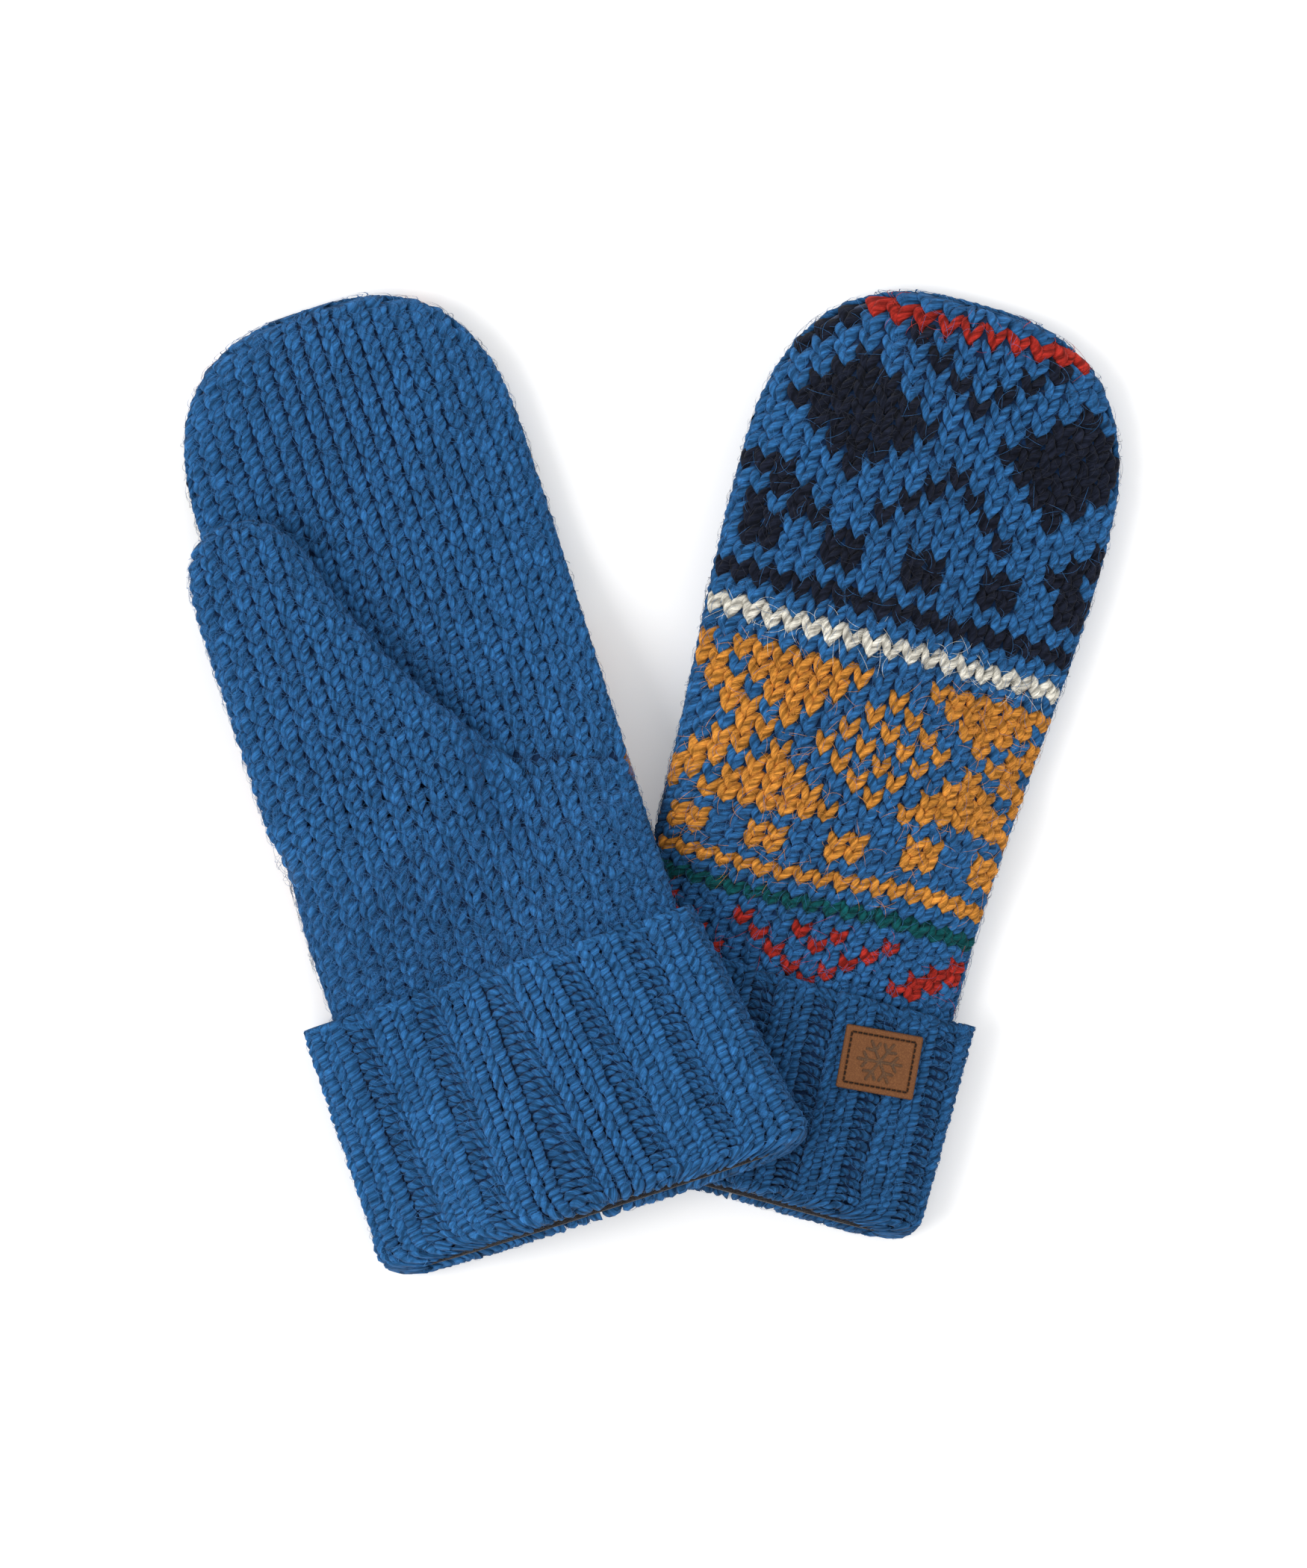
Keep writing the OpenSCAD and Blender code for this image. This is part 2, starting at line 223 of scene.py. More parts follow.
def hand_surface(k, side, swollen=False):
    """side is 1 on the palm and -1 on the back."""
    down = side * PALM_UP[k] < 0

    def height(s, r, y, off):
        rise = pressed(r) if down else np.abs(r)
        return (hand_deep(k, y) - off) * tip_bend(k, y, off) * rise

    def flat(s, r, y):
        x = hand_middle(k, y) + hand_half(k, y, 0) * s
        # The slope beside the thumb adds nothing, so the wales stay evenly spaced over it
        return x, height(s, r, y, 0) + (swell(k, np.minimum(x, -16), y) if swollen else 0)

    def place(s, r, y, off):
        x = hand_middle(k, y) + hand_half(k, y, off) * s
        # Every layer starts its rise from the same edge, so the flank has no gap
        bulge = swell(k, hand_middle(k, y) + hand_half(k, y, 0) * s, y) if swollen else 0
        out = height(s, r, y, off) + bulge + (seam_crease(x, y) * np.abs(r) if side > 0 else 0)
        z = hand_mid(k, y) + PALM_UP[k] * side * np.maximum(RIM, out)
        return laid(k, x, y, z + lift(k, x, y))

    return flat, place


def thumb_surface(k):
    """A pocket whose front runs on into the lower palm below the thumb's root."""

    def half(y, off):
        run = np.maximum(0, y - TOP + 25) / (25 - off)
        return ((thumb_inner(y) - THUMB_EDGE[k]) / 2 - off) * oval(run, 2.6)

    def middle(y):
        return (thumb_inner(y) + THUMB_EDGE[k]) / 2

    def height(r, y, off):
        bend = oval(np.maximum(0, y - TOP + off + 18) / 18, HAND_POWER)
        return np.sign(r) * (THUMB_DEPTH / 2 - off) * bend * pressed(r)

    def flat(s, r, y):
        return middle(y) + half(y, 0) * s, height(r, y, 0)

    def place(s, r, y, off):
        x = middle(y) + half(y, off) * s
        # The root flattens onto the palm at the crotch
        base = HAND_DEPTH + drape(x, y) if k == LEFT else THUMB_LIFT
        flatter = 1 - 0.88 * ramp(x, 0, 16) * (1 - ramp(y, ROOT + 4, ROOT + 24))
        z = base + PALM_UP[k] * (THUMB_LIFT - THUMB_DEPTH / 2 + height(r, y, off)) * flatter
        # Its front comes down onto the lower palm
        share = (x - hand_middle(k, y)) / hand_half(k, y, 0)
        out = (hand_deep(k, y) - off) * oval(share, HAND_POWER) + swell(k, x, y)
        palm = hand_mid(k, y) + PALM_UP[k] * np.maximum(RIM, out) + lift(k, x, y)
        joined = (1 - ramp(y, ROOT - 11, ROOT + 2)) * smooth(r / 0.2)
        return laid(k, x, y, mix(z, palm, joined))

    return flat, place


def cuff_surface(k, turned=True):
    """The rib goes down outside, round the fold and up again inside. The lining doesn't turn."""

    def half_middle(y, off):
        a = mix(CUFF_FOLD[k][0], CUFF_FREE[k][0], y / CUFF_HEIGHT)
        b = mix(CUFF_FOLD[k][1], CUFF_FREE[k][1], y / CUFF_HEIGHT)
        inset = 8 - np.sqrt(64 - np.clip(8 - y, 0, 8) ** 2)
        return (b - a) / 2 - off - inset, (a + b) / 2

    def height(r, off):
        return np.where(r < 0, -pressed(r), r) * (CUFF_DEPTH / 2 - off)

    def flat(s, r, y):
        half, middle = half_middle(np.maximum(y, 8), 0)
        return middle + half * s, height(r, 0)

    def place(s, r, y, off):
        if turned:
            angle = np.clip((FOLD - y) / FOLD_ROUND, 0, np.pi)
            inside = np.maximum(0, FOLD - y - FOLD_ROUND * np.pi)
            round_y = FOLD - (FOLD - off) * np.sin(angle) + inside
            round_off = FOLD - (FOLD - off) * np.cos(angle)
            y, off = np.where(y < FOLD, round_y, y), np.where(y < FOLD, round_off, off)
        half, middle = half_middle(y, off)
        x, up = middle + half * s, height(r, off)
        # The upper layer's fold stops short of the under one's, and the lining shows between them
        drop = UNDER_DROP * (1 - ramp(y, 0, 15)) * (0.25 - 1.5 * up / CUFF_DEPTH)
        return laid(k, x, cuff_along(k, y) - drop, CUFF_DEPTH / 2 + up + lift(k, x, y))

    return flat, place


# ---- Cloth laid out flat ----

FRONT = (0, np.pi)
ROUND = (-np.pi / 2, 1.5 * np.pi)


def section(span, power, count):
    """Places round a squared-off section, from its left end over its front."""
    angle = np.linspace(*span, count)
    norm = (np.abs(np.cos(angle)) ** power + np.abs(np.sin(angle)) ** power) ** (1 / power)
    return -np.cos(angle) / norm, np.sin(angle) / norm


class Cloth:
    """Knitted cloth, measured flat: across from a wale at x_zero(y), and along from the cuff."""

    REACH = 150

    def __init__(self, surface, span, ys, x_zero, power=HAND_POWER, girth=None, mirrored=False):
        flat, self.place = surface
        self.mirrored = mirrored
        s, r = section(span, power, 721)
        self.ys = np.linspace(*ys, 200)
        x, z = flat(s[None, :], r[None, :], self.ys[:, None])
        arc = np.zeros(x.shape)
        arc[:, 1:] = np.cumsum(np.hypot(np.diff(x), np.diff(z)), 1)
        front = (r >= -1e-9) & (np.arange(len(s)) > 0)
        for row, y in enumerate(self.ys):
            arc[row] -= np.interp(x_zero(y), x[row, front], arc[row, front])
        if girth:
            arc *= girth / (arc[:, -1:] - arc[:, :1])
        self.low, self.high = arc[:, 0], arc[:, -1]
        grid = np.linspace(-self.REACH, self.REACH, 1201)
        self.s = np.array([np.interp(grid, row, s) for row in arc])
        self.r = np.array([np.interp(grid, row, r) for row in arc])
        fine = np.linspace(*ys, 2000)
        rise = flat(-1.0, 1.0, fine)[1] + 0 * fine
        length = np.concatenate([[0], np.cumsum(np.hypot(np.diff(fine), np.diff(rise)))]) + ys[0]
        self.fine, self.length = fine, length

    def height_at(self, along):
        return np.interp(along, self.length, self.fine)

    def point(self, across, along, up):
        """Places in the pair's frame, up being the height above the cloth's surface."""
        y = self.height_at(along)
        i = np.clip((y - self.ys[0]) / (self.ys[1] - self.ys[0]), 0, len(self.ys) - 1.001)
        j = np.clip((across + self.REACH) * 4, 0, self.s.shape[1] - 1.001)
        i0, j0 = i.astype(int), j.astype(int)
        di, dj = i - i0, j - j0

        def read(table):
            low = mix(table[i0, j0], table[i0, j0 + 1], dj)
            return mix(low, mix(table[i0 + 1, j0], table[i0 + 1, j0 + 1], dj), di)

        return self.place(read(self.s), read(self.r), y, -up)

    def inside(self, across, along, margin=0.8):
        y = self.height_at(along)
        low, high = np.interp(y, self.ys, self.low), np.interp(y, self.ys, self.high)
        fits = (across > low + margin) & (across < high - margin)
        return fits & (along > self.length[0]) & (along < self.length[-1] - 0.5)

    def flat_size(self, start, end):
        """Width, length and area of the cloth between two heights, in metres."""
        inside = (self.ys >= start) & (self.ys <= end)
        wide = (self.high - self.low)[inside]
        long = np.interp(end, self.fine, self.length) - np.interp(start, self.fine, self.length)
        return (wide.max() * MM, long * MM), wide.mean() * long * MM * MM


# ---- Meshes ----


def grid_faces(rows, columns, ring):
    i, j = np.meshgrid(np.arange(rows - 1), np.arange(columns if ring else columns - 1), indexing="ij")
    a, b = i * columns + j, i * columns + (j + 1) % columns
    return np.stack([a, b, b + columns, a + columns], -1).reshape(-1, 4)


def build(name, points, faces, material, body, flip=False, colours=None, strands=None, flat=None):
    """A mesh object from points in millimetres and lists of faces."""
    mesh = bpy.data.meshes.new(name)
    if flip:
        faces = [f[:, ::-1] for f in faces]
    sizes = np.concatenate([np.full(len(f), f.shape[1]) for f in faces])
    corners = np.concatenate([f.ravel() for f in faces])
    mesh.vertices.add(len(points))
    mesh.vertices.foreach_set("co", (points * MM).astype(np.float32).ravel())
    mesh.loops.add(len(corners))
    mesh.loops.foreach_set("vertex_index", corners.astype(np.int32))
    mesh.polygons.add(len(sizes))
    mesh.polygons.foreach_set("loop_start", (np.cumsum(sizes) - sizes).astype(np.int32))
    mesh.polygons.foreach_set("use_smooth", np.ones(len(sizes), bool))
    mesh.update(calc_edges=True)
    if colours is not None:
        tint = mesh.attributes.new("yarn", "FLOAT_COLOR", "POINT")
        tint.data.foreach_set("color", np.c_[colours, np.ones(len(colours))].astype(np.float32).ravel())
    if strands is not None:
        strand = mesh.attributes.new("strand", "FLOAT_VECTOR", "POINT")
        strand.data.foreach_set("vector", strands.astype(np.float32).ravel())
    if flat is not None:
        low, high = flat.min(0), flat.max(0)
        layer = mesh.uv_layers.new(name="OFBake")
        share = (flat - low) / np.maximum(high - low, 1e-6) * 0.98 + 0.01
        layer.data.foreach_set("uv", share[corners].astype(np.float32).ravel())
    obj = bpy.data.objects.new(name, mesh)
    bpy.context.scene.collection.objects.link(obj)
    mesh.materials.append(material)
    if isinstance(body, str):
        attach(obj, body)
    else:
        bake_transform(obj)
    return obj


def tubes(paths, radius, sides, lobes=0.0, turns=0.0, phase=0.0):
    """Closed tubes along paths of (across, along, up), and where each point lies on its strand.

    lobes and turns give a two-ply twist. A strand place is millimetres along the tube, the number of
    plies passed going round it, and a number that tells the tube from the others."""
    count, rings, _ = paths.shape
    ahead = np.gradient(paths[..., :2], axis=1)
    ahead /= np.maximum(np.linalg.norm(ahead, axis=2, keepdims=True), 1e-9)
    beside = np.stack([-ahead[..., 1], ahead[..., 0]], -1)[:, :, None, :]
    # The first and last sides meet underneath
    phi = np.linspace(0, 2 * np.pi, sides, endpoint=False) - np.pi / 2
    t = np.linspace(0, 1, rings)[None, :, None]
    wind = phi / np.pi - 2 * turns * t + np.reshape(phase, (-1, 1, 1))
    girth = radius[..., None] * (1 + lobes * np.cos(2 * np.pi * wind))
    points = np.repeat(paths[:, :, None, :], sides, 2)
    points[..., :2] += beside * (girth * np.cos(phi))[..., None]
    points[..., 2] += girth * np.sin(phi)
    step = np.linalg.norm(np.diff(paths, axis=1), axis=2)
    along = np.concatenate([np.zeros((count, 1)), np.cumsum(step, 1)], 1)[..., None]
    strands = np.stack(np.broadcast_arrays(along, wind, 17 * np.reshape(phase, (-1, 1, 1))), -1)
    one = grid_faces(rings, sides, True)
    first = np.arange(count) * rings * sides
    walls = (one[None] + first[:, None, None]).reshape(-1, 4)
    ring = np.arange(sides)
    ends = np.stack([ring[::-1], ring + (rings - 1) * sides])
    caps = (ends[None] + first[:, None, None]).reshape(-1, sides)
    return points.reshape(-1, 3), [walls, caps], strands.reshape(-1, 3)


def knitted(name, cloth, paths, radius, tint, body, phase, sides=8, lobes=0.12, turns=1.0):
    """Tubes of yarn, laid on a cloth, or on nothing where their paths are in the pair's frame."""
    points, faces, strands = tubes(paths, radius, sides, lobes, turns, phase)
    world = cloth.point(*points.T) if cloth else points
    colours = np.repeat(tint, paths.shape[1] * sides, axis=0)
    flip = bool(cloth) and cloth.mirrored
    return build(name, world, faces, WOOL, body, flip, colours, strands, points[:, :2])


# ---- Colours, the chart and where the stitches run ----

# Where the palm's wales are counted from, and how wide and high their stitches are
PALM_MIDDLE = 1.5
PALM_WALE, UPPER_WALE, UPPER_ROW, THUMB_ROW = 5.9, 5.5, 4.48, 4.6


def linear(rgb):
    c = np.array(rgb) / 255
    return np.where(c <= 0.04045, c / 12.92, ((c + 0.055) / 1.055) ** 2.4)


BLUE, NAVY, OCHRE, CREAM, TEAL, RED = range(6)
YARNS = np.array([linear(c) for c in (
    (42, 94, 145), (25, 29, 42), (196, 130, 54), (210, 206, 194), (14, 74, 78), (160, 42, 34))])


def chart(c, m):
    """The yarn of the stitch in column c and row m of the back, counted from the cream row."""
    q, n = abs(c), -m
    pair = (c + 1) % 4 < 2
    if c < -10:
        return BLUE
    if m in (0, 18, -15, -17):
        return {0: CREAM, 18: RED, -15: OCHRE, -17: TEAL}[m]
    if m == 2 or (m in (4, 5) and pair):
        return NAVY
    if m > 2:
        roof = q <= 3 and m in (10 - q, 14 + q)
        corner = (m == 8 and q >= 8) or (m == 7 and q in (7, 8)) or (m == 6 and q in (6, 7, 9))
        arm = (7 <= q <= 9 and m == 23 - q) or (q, m) == (6, 17)
        return NAVY if roof or corner or arm or abs(q - 5) + abs(m - 12) <= 3 else BLUE
    if -10 <= m <= -2:
        r = abs(m + 6)
        petal = abs(q - 5) <= r - 1
        outer = q > 5 and q - 5 in (r + 1, r + 2)
        checker = q + r <= 3 and (q + r) % 2 == 1
        return OCHRE if petal or outer or checker else BLUE
    if m in (-12, -13) and pair:
        return OCHRE
    valley = (q <= 4 and m == -23 + q) or (q <= 1 and m == -20 + q)
    side = q >= 5 and 19 <= n <= 22 and n + q in (27, 28)
    return RED if valley or side else BLUE


def back_lattice(flip):
    """Where the back's columns and rows run. The rows crowd towards the cuff."""

    def lattice(c, m):
        c = c * flip
        f = np.sin(np.pi / 2 * np.clip(c, -5, 9) / 5)
        y = 164.7 + 5.2 * np.maximum(m, 0)
        y = y + np.clip(m, -10, 0) * (4.7 - 0.475 * f) + np.clip(m + 10, -7, 0) * (4.1 + 0.52 * f)
        y = y + np.minimum(m + 17, 0) * 3.67
        wide = np.interp(y, (100, 165, 224, 258), (5.8, 6.0, 6.3, 7.5))
        narrow = np.interp(y, (100, 165, 224, 258), (5.15, 5.48, 5.9, 7.15))
        return flip * c * np.where(c < 0, wide, narrow), y

    return lattice


def drawn_in(c, share):
    """Draws a wale's legs together, which opens the valleys between the wales."""
    wale = np.round(c)
    return wale + (c - wale) * (1 - share)


def upper_lattice(c, m):
    """The upper palm's stitches, gathered towards the tip."""
    across = drawn_in(c, 0.04 + 0.2 * ramp(m, 10, 25)) * UPPER_WALE
    slant = seam_slant(across + PALM_MIDDLE) * (1 - ramp(m, 0, 12))
    return across, SEAM_LINE + 3.0 + m * UPPER_ROW + slant


def palm_lattice(start, shift=0.0):
    """The lower palm's stitches, which run on into the thumb. Their rows crowd towards the cuff."""

    def lattice(c, m):
        below = np.minimum(m, 13)
        across = drawn_in(c, 0.05) * PALM_WALE + shift
        along = start + below * 3.75 + 0.04 * below ** 2 + (m - below) * THUMB_ROW
        return across, along + (0 if shift else seam_slant(across + PALM_MIDDLE) * ramp(m, 4, 12))

    return lattice


# ---- Materials ----


class Nodes:
    """Adds nodes to a new material."""

    def __init__(self, name):
        self.material = bpy.data.materials.new(name)
        self.material.use_nodes = True
        self.tree = self.material.node_tree
        self.shader = self.tree.nodes["Principled BSDF"]

    def add(self, kind, inputs=(), **settings):
        node = self.tree.nodes.new(kind)
        for key, value in settings.items():
            setattr(node, key, value)
        for key, value in dict(inputs).items():
            if isinstance(value, bpy.types.NodeSocket):
                self.tree.links.new(value, node.inputs[key])
            else:
                node.inputs[key].default_value = value
        return node

    def noise(self, vector, scale, detail=3.0, rough=0.55):
        found = {"Vector": vector, "Scale": scale, "Detail": detail, "Roughness": rough}
        return self.add("ShaderNodeTexNoise", found).outputs["Fac"]

    def span(self, value, low, high, to_low, to_high):
        found = {"Value": value, "From Min": low, "From Max": high, "To Min": to_low, "To Max": to_high}
        return self.add("ShaderNodeMapRange", found).outputs["Result"]

    def product(self, a, b):
        return self.add("ShaderNodeMath", {0: a, 1: b}, operation="MULTIPLY").outputs[0]

    def blend(self, share, a, b, mode="MIX"):
        node = self.add("ShaderNodeMix", data_type="RGBA", blend_type=mode)
        for socket, value in zip((node.inputs[0], node.inputs[6], node.inputs[7]), (share, a, b)):
            if isinstance(value, bpy.types.NodeSocket):
                self.tree.links.new(value, socket)
            else:
                socket.default_value = value
        return node.outputs[2]

    def scaled(self, vector, scale):
        found = {0: vector, 1: scale}
        return self.add("ShaderNodeVectorMath", found, operation="MULTIPLY").outputs[0]

    def finish(self, colour, bump, strength, distance, rough, **sockets):
        link = self.tree.links.new
        link(colour, self.shader.inputs["Base Color"])
        found = {"Height": bump, "Strength": strength, "Distance": distance}
        link(self.add("ShaderNodeBump", found).outputs["Normal"], self.shader.inputs["Normal"])
        self.shader.inputs["Roughness"].default_value = rough
        for key, value in sockets.items():
            self.shader.inputs[key.replace("_", " ")].default_value = value
        return self.material


def wool():
    """Heathered two-ply yarn: fibres run along the plies, and the colour is darkened between the plies as
    painted shade.
    """
    n = Nodes("wool")
    strand = n.add("ShaderNodeAttribute", attribute_name="strand").outputs["Vector"]
    yarn = n.add("ShaderNodeAttribute", attribute_name="yarn").outputs["Color"]
    wind = n.add("ShaderNodeSeparateXYZ", {0: strand}).outputs["Y"]
    turned = n.add("ShaderNodeMath", {0: wind, 1: 2 * np.pi}, operation="MULTIPLY").outputs[0]
    ply = n.add("ShaderNodeMath", {0: turned}, operation="COSINE").outputs[0]
    fibres = n.noise(n.scaled(strand, (0.45, 6.0, 1.0)), 1.0, 4.0, 0.65)
    place = n.add("ShaderNodeTexCoord").outputs["Object"]
    heather = n.noise(place, 420.0, 3.0, 0.65)
    # Painted shade: the colour falls to half between the two plies
    painted_ply_shade = n.span(ply, -1.0, 0.0, 0.5, 1.04)
    light = n.span(fibres, 0.3, 0.7, 0.42, 1.62)
    cloud = n.span(heather, 0.35, 0.65, 0.78, 1.2)
    tone = n.product(n.product(painted_ply_shade, light), cloud)
    grey = n.add("ShaderNodeCombineColor", {i: tone for i in range(3)}).outputs[0]
    shade = n.blend(1.0, yarn, grey, "MULTIPLY")
    relief = n.add("ShaderNodeMath", {0: ply, 1: 0.25, 2: fibres}, operation="MULTIPLY_ADD").outputs[0]
    return n.finish(shade, relief, 0.6, 0.0005, 0.95, Specular_IOR_Level=0.05, Sheen_Weight=0.06,
                    Sheen_Roughness=0.5)


def plain_cloth(name, colour, dark, scale, bump):
    """Cloth seen only in gaps and from inside: mottled, with a nap."""
    n = Nodes(name)
    place = n.add("ShaderNodeTexCoord").outputs["Object"]
    nap = n.noise(place, scale, 5.0, 0.7)
    tone = n.blend(n.span(nap, 0.3, 0.7, 0.0, 1.0), (*linear(dark), 1), (*linear(colour), 1))
    return n.finish(tone, nap, 0.8, bump, 0.95, Specular_IOR_Level=0.1, Sheen_Weight=0.3)


def leather_material():
    """Pressed split leather: cloudy, finely grained, darker in the pressed motif."""
    n = Nodes("leather")
    place = n.add("ShaderNodeTexCoord").outputs["Object"]
    tone = n.add("ShaderNodeAttribute", attribute_name="yarn").outputs["Color"]
    cloud = n.noise(place, 260.0, 4.0)
    grain = n.noise(place, 2600.0, 3.0, 0.7)
    shade = n.blend(n.span(cloud, 0.3, 0.75, 0.0, 0.5), tone, (*linear((98, 58, 27)), 1))
    speck = n.blend(n.span(grain, 0.45, 0.75, 0.0, 0.4), shade, (*linear((166, 112, 64)), 1))
    return n.finish(speck, grain, 0.5, 0.0002, 0.72, Specular_IOR_Level=0.3)


def floor_material():
    n = Nodes("paper")
    place = n.add("ShaderNodeTexCoord").outputs["Object"]
    tooth = n.noise(place, 900.0, 2.0)
    tone = n.blend(tooth, (0.90, 0.90, 0.90, 1), (0.92, 0.92, 0.92, 1))
    return n.finish(tone, tooth, 0.05, 0.0001, 1.0, Specular_IOR_Level=0.0, Emission_Strength=0.2,
                    Emission_Color=(1, 1, 1, 1))


WOOL = wool()
# The backing is the knitting's inner side; its blue is darker than the yarn's, as painted shade in the gaps
# between the stitches
PAINTED_SHADE_BACKING = plain_cloth("wool_backing_painted_shade", (22, 56, 98), (10, 28, 54), 900.0, 0.0004)
FLEECE_CLOTH = plain_cloth("fleece", (44, 40, 44), (16, 14, 17), 1500.0, 0.0008)

# ---- Stitches ----

LEG_RINGS = 9
LEG_GIRTH = np.array([0.3, 0.66, 0.92, 1.04, 1.08, 1.06, 1.0, 0.84, 0.5])


def heathered(yarn, rng):
    """The yarn's colour with a small change from stitch to stitch."""
    return YARNS[yarn] * rng.normal(1, 0.07, (len(yarn), 1)).clip(0.8, 1.2)


def vee_paths(lattice, c, m, rng, reach=1.56, foot=0.015, head=0.395, depth=1.2, dives=(0.6, 1.6)):
    """Both legs of each stitch, its foot between the heads of the stitch below."""
    t = np.linspace(0, 1, LEG_RINGS)
    side = np.tile([-1.0, 1.0], len(c))[:, None]
    c2, m2 = np.repeat(c, 2)[:, None], np.repeat(m, 2)[:, None]
    shake = rng.normal(0, 0.022, (len(side), 3, 1))
    u = side * mix(foot, head, smooth(t)) + shake[:, 0]
    v = (t - 0.5) * reach + shake[:, 1] * 1.6
    across, along = lattice(c2 + u, m2 + v)
    up = -depth - np.where(t < 0.5, *dives) * np.abs(2 * t - 1) ** 2.4 + shake[:, 2] * 4 + 0 * across
    return np.stack([across, along, up], -1)


def vees(name, cloth, lattice, cells, yarn, body, slot, rng, size=1.24, **shape):
    """A panel of knit stitches."""
    c, m = cells[:, 0].astype(float), cells[:, 1].astype(float)
    paths = vee_paths(lattice, c, m, rng, **shape)
    count = len(paths)
    radius = size * LEG_GIRTH[None, :] * rng.normal(1, 0.045, (count, 1)).clip(0.88, 1.12)
    phase = rng.uniform(0, np.pi, count)
    tint = np.repeat(heathered(yarn, rng), 2, axis=0)
    return knitted(name, cloth, paths, radius, tint, body, phase)


def fuzz(name, cloth, places, tint, body, rng, count):
    """Loose fibres that lie and stand on the cloth."""
    pick = rng.integers(0, len(places), count)
    t = np.linspace(0, 1, 7)[None, :]
    heading, bow = rng.uniform(0, 2 * np.pi, (count, 1)), rng.normal(0, 1.1, (count, 1))
    long = rng.uniform(2.5, 9, (count, 1))
    angle = heading + bow * (t - 0.5)
    step = long / 6
    across = places[pick, 0][:, None] + rng.normal(0, 1.5, (count, 1)) + np.cumsum(np.cos(angle) * step, 1)
    along = places[pick, 1][:, None] + rng.normal(0, 1.5, (count, 1)) + np.cumsum(np.sin(angle) * step, 1)
    peak = rng.uniform(0.2, 1.5, (count, 1))
    up = -0.5 + peak * np.sin(np.pi * t * rng.uniform(0.6, 1.1, (count, 1)))
    paths = np.stack([across, along, up], -1)
    radius = np.full((count, 7), 0.045) * np.array([1, 1, 1, 1, 1, 0.8, 0.4])
    pale = tint[pick] * 1.9 + 0.02
    phase = rng.uniform(0, np.pi, count)
    return knitted(name, cloth, paths, radius, pale, body, phase, sides=3, lobes=0)


# ---- Cloth behind the stitches, and linings ----


def skin(name, cloth, span, power, rows, depths, material, body, ring, nap=0.0, seed=1):
    """A thin closed layer between two depths of the cloth."""
    s, r = section(span, power, 150 if not ring else 221)
    if ring:
        s, r = s[:-1], r[:-1]
    rng = np.random.default_rng(seed)
    layers = []
    for off in depths:
        ys = np.array(rows(off))
        rough = off + nap * rng.normal(0, 1, (len(ys), len(s)))
        layers.append(cloth.place(s[None, :], r[None, :], ys[:, None], rough))
    count, columns = len(ys), len(s)
    under = count * columns
    face = grid_faces(count, columns, ring)
    j = np.arange(columns if ring else columns - 1)
    k = (j + 1) % columns
    last = (count - 1) * columns
    rims = [np.stack([k, j, j + under, k + under], -1),
            np.stack([j + last, k + last, k + last + under, j + last + under], -1)]
    if not ring:
        i = np.arange(count - 1) * columns
        e = i + columns - 1
        rims += [np.stack([i, i + columns, i + columns + under, i + under], -1),
                 np.stack([e + columns, e, e + under, e + columns + under], -1)]
    faces = [np.concatenate([face, face[:, ::-1] + under, *rims])]
    points = np.concatenate([layer.reshape(-1, 3) for layer in layers])
    flat = np.stack(np.broadcast_arrays(np.arange(columns) / columns, np.arange(count)[:, None] / count), -1)
    flat = np.concatenate([flat.reshape(-1, 2), flat.reshape(-1, 2)])
    return build(name, points, faces, material, body, cloth.mirrored, flat=flat)


def declare(cloth, start, end, replaced):
    (width, length), area = cloth.flat_size(start, end)
    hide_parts(replaced)


def tip_rows(k, start):
    """Rows of a layer from start to the tip, closer together at the tip."""
    bend = tip(k) - 48
    return lambda off: np.concatenate([
        np.arange(start, bend, 3.0), mix(bend, tip(k, off) - 0.15, np.sin(np.linspace(0, np.pi / 2, 26)))])


def fill(cloth, lattice, columns, rows, keep=None):
    """The cells of a lattice that lie on the cloth."""
    c, m = np.meshgrid(np.arange(*columns), np.arange(*rows), indexing="ij")
    cells = np.stack([c.ravel(), m.ravel()], -1)
    across, along = lattice(cells[:, 0].astype(float), cells[:, 1].astype(float))
    use = cloth.inside(across, along)
    if keep is not None:
        use &= keep(across, along)
    return cells[use], np.stack([across, along], -1)[use]


def panel(k, part, cloth, lattice, columns, rows, layers, ends, yarns, body, slot, seed, keep=None,
          stitches=None, hair=3300):
    """One knitted panel: backing cloth, stitches and loose fibres, and its lining."""
    name = f"{SIDES[k]}_{part}"
    rng = np.random.default_rng(seed)
    cells, places = fill(cloth, lattice, columns, rows, keep)
    yarn = np.array([yarns(int(c), int(m)) for c, m in cells])
    made = [vees(f"{name}_stitches", cloth, lattice, cells, yarn, body, slot, rng, **(stitches or {}))]
    made.append(fuzz(f"{name}_fibres", cloth, places, YARNS[yarn], body, rng, hair))
    span, power, ring = layers
    back = skin(f"{name}_cloth", cloth, span, power, ends, (BACKING_TOP, KNIT), PAINTED_SHADE_BACKING, body, ring)
    start, end = float(np.min(ends(BACKING_TOP))), float(np.max(ends(BACKING_TOP)))
    declare(cloth, start, end, name)
    lining = f"{SIDES[k]}_{part.replace('panel', 'lining')}" if part == "back_panel" else f"{name}_lining"
    lining = lining.replace("thumb_stall_lining", "thumb_lining")
    inner = (KNIT + GAP, KNIT + GAP + FLEECE)
    fleece = skin(f"{lining}_fleece", cloth, span, power, ends, inner, FLEECE_CLOTH, body, ring,
                  nap=LINING_NAP, seed=seed)
    declare(cloth, start, end, lining)


COLUMNS = (-12, 12)


def blue(c, m):
    return BLUE


